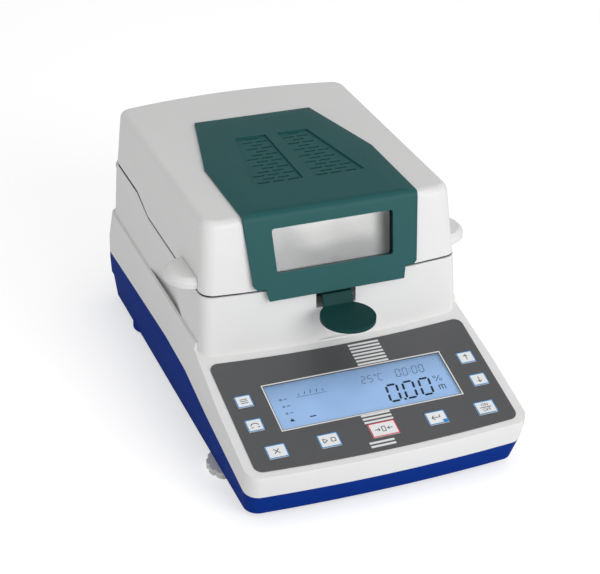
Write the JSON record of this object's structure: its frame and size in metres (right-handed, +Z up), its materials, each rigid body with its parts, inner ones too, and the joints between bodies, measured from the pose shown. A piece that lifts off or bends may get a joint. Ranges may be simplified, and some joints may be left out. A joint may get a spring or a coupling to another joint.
{
  "type": "moisture analyzer",
  "caption": "Bench moisture analyzer: balance with sloped keyboard and display, hinged halogen heater lid with window and grilles, sample pan and pan handler.",
  "frame": {"origin": "on the table under the middle of the object's bounding box", "axes": "+X to the object's right as seen from its front, +Y to the back, +Z up; the keyboard is at -Y"},
  "size_m": [0.225, 0.336, 0.167],
  "materials": {
    "blue_shell": "satin",
    "light_shell": "satin",
    "overlay": "matt",
    "display_pane": "clear",
    "display": "gloss",
    "board": "satin",
    "switch": "matt",
    "dark_liner": "matt",
    "steel": "brushed",
    "aluminium": "satin",
    "winding": "satin",
    "black_plastic": "matt",
    "vial": "clear",
    "rubber": "matt",
    "teal_cover": "fine texture",
    "glass": "clear",
    "quartz": "clear",
    "ceramic": "satin",
    "handler": "satin",
    "foot": "matt",
    "key": "satin"
  },
  "bodies": {
    "base": {"base_tray": "blue_shell", "upper_housing": "light_shell", "panel_overlay": "overlay", "display_window": "display_pane", "display_module": "display", "display_board": "board", "key_switches": "switch", "chamber_tub": "dark_liner", "draft_shield": "steel", "load_cell": "aluminium", "cell_foot": "aluminium", "main_board": "board", "power_board": "board", "transformer": "winding", "mains_inlet": "black_plastic", "inlet_pins": "steel", "data_port": "steel", "level_case": "black_plastic", "level_vial": "vial", "rear_pads": "rubber", "hinge_pins": "steel", "lid_sensor": "black_plastic", "lid_buffers": "rubber", "board_screws": "steel", "casing_screws": "steel"},
    "lid": {"lid_shell": "light_shell", "heater_cover": "teal_cover", "cover_screws": "steel", "window_glass": "glass", "window_gasket": "rubber", "lid_liner": "dark_liner", "guard_glass": "glass", "heater_reflector": "steel", "halogen_lamps": "quartz", "lamp_sockets": "ceramic", "temperature_sensor": "steel", "lid_magnet": "steel", "left_grip": "light_shell", "right_grip": "light_shell"},
    "support": {"pan_support": "steel"},
    "pan": {"sample_pan": "aluminium"},
    "handler": {"pan_handler": "handler"},
    "drawer": {"fuse_drawer": "black_plastic"},
    "left_foot": {"left_foot": "foot"},
    "right_foot": {"right_foot": "foot"},
    "menu_key": {"menu_key": "key"},
    "program_key": {"program_key": "key"},
    "escape_key": {"escape_key": "key"},
    "start_stop_key": {"start_stop_key": "key"},
    "tare_key": {"tare_key": "key"},
    "enter_key": {"enter_key": "key"},
    "on_off_key": {"on_off_key": "key"},
    "up_key": {"up_key": "key"},
    "down_key": {"down_key": "key"}
  },
  "joints": [
    {"name": "lid_hinge", "type": "hinge", "parent": "base", "child": "lid", "pos_m": [0, 0.1595, 0.114], "axis": [-1, 0, 0], "range_deg": [0, 85]},
    {"name": "support_travel", "type": "slide", "parent": "base", "child": "support", "axis": [0, 0, -1], "range_m": [0, 0.0003], "stiffness_N_per_m": 9000, "springref_m": -0.0003},
    {"name": "handler_lift", "type": "slide", "parent": "base", "child": "handler", "axis": [0, 0, 1], "range_m": [0, 0.0018]},
    {"name": "pan_lift", "type": "slide", "parent": "base", "child": "pan", "axis": [0, 0, 1], "range_m": [0, 0.0018]},
    {"name": "fuse_drawer_slide", "type": "slide", "parent": "base", "child": "drawer", "axis": [0, 1, 0], "range_m": [0, 0.015]},
    {"name": "left_foot_turn", "type": "hinge", "parent": "base", "child": "left_foot", "pos_m": [-0.088, -0.0925, 0], "axis": [0, 0, 1], "continuous": true},
    {"name": "right_foot_turn", "type": "hinge", "parent": "base", "child": "right_foot", "pos_m": [0.088, -0.0925, 0], "axis": [0, 0, 1], "continuous": true},
    {"name": "menu_key_press", "type": "slide", "parent": "base", "child": "menu_key", "axis": [0, 0.2528, -0.9675], "range_m": [0, 0.0005], "stiffness_N_per_m": 600},
    {"name": "program_key_press", "type": "slide", "parent": "base", "child": "program_key", "axis": [0, 0.2528, -0.9675], "range_m": [0, 0.0005], "stiffness_N_per_m": 600},
    {"name": "escape_key_press", "type": "slide", "parent": "base", "child": "escape_key", "axis": [0, 0.2528, -0.9675], "range_m": [0, 0.0005], "stiffness_N_per_m": 600},
    {"name": "start_stop_key_press", "type": "slide", "parent": "base", "child": "start_stop_key", "axis": [0, 0.2528, -0.9675], "range_m": [0, 0.0005], "stiffness_N_per_m": 600},
    {"name": "tare_key_press", "type": "slide", "parent": "base", "child": "tare_key", "axis": [0, 0.2528, -0.9675], "range_m": [0, 0.0005], "stiffness_N_per_m": 600},
    {"name": "enter_key_press", "type": "slide", "parent": "base", "child": "enter_key", "axis": [0, 0.2528, -0.9675], "range_m": [0, 0.0005], "stiffness_N_per_m": 600},
    {"name": "on_off_key_press", "type": "slide", "parent": "base", "child": "on_off_key", "axis": [0, 0.2528, -0.9675], "range_m": [0, 0.0005], "stiffness_N_per_m": 600},
    {"name": "up_key_press", "type": "slide", "parent": "base", "child": "up_key", "axis": [0, 0.2528, -0.9675], "range_m": [0, 0.0005], "stiffness_N_per_m": 600},
    {"name": "down_key_press", "type": "slide", "parent": "base", "child": "down_key", "axis": [0, 0.2528, -0.9675], "range_m": [0, 0.0005], "stiffness_N_per_m": 600}
  ],
  "couplings": [
    {"joint": "pan_lift", "follows": "handler_lift", "ratio": 1}
  ]
}
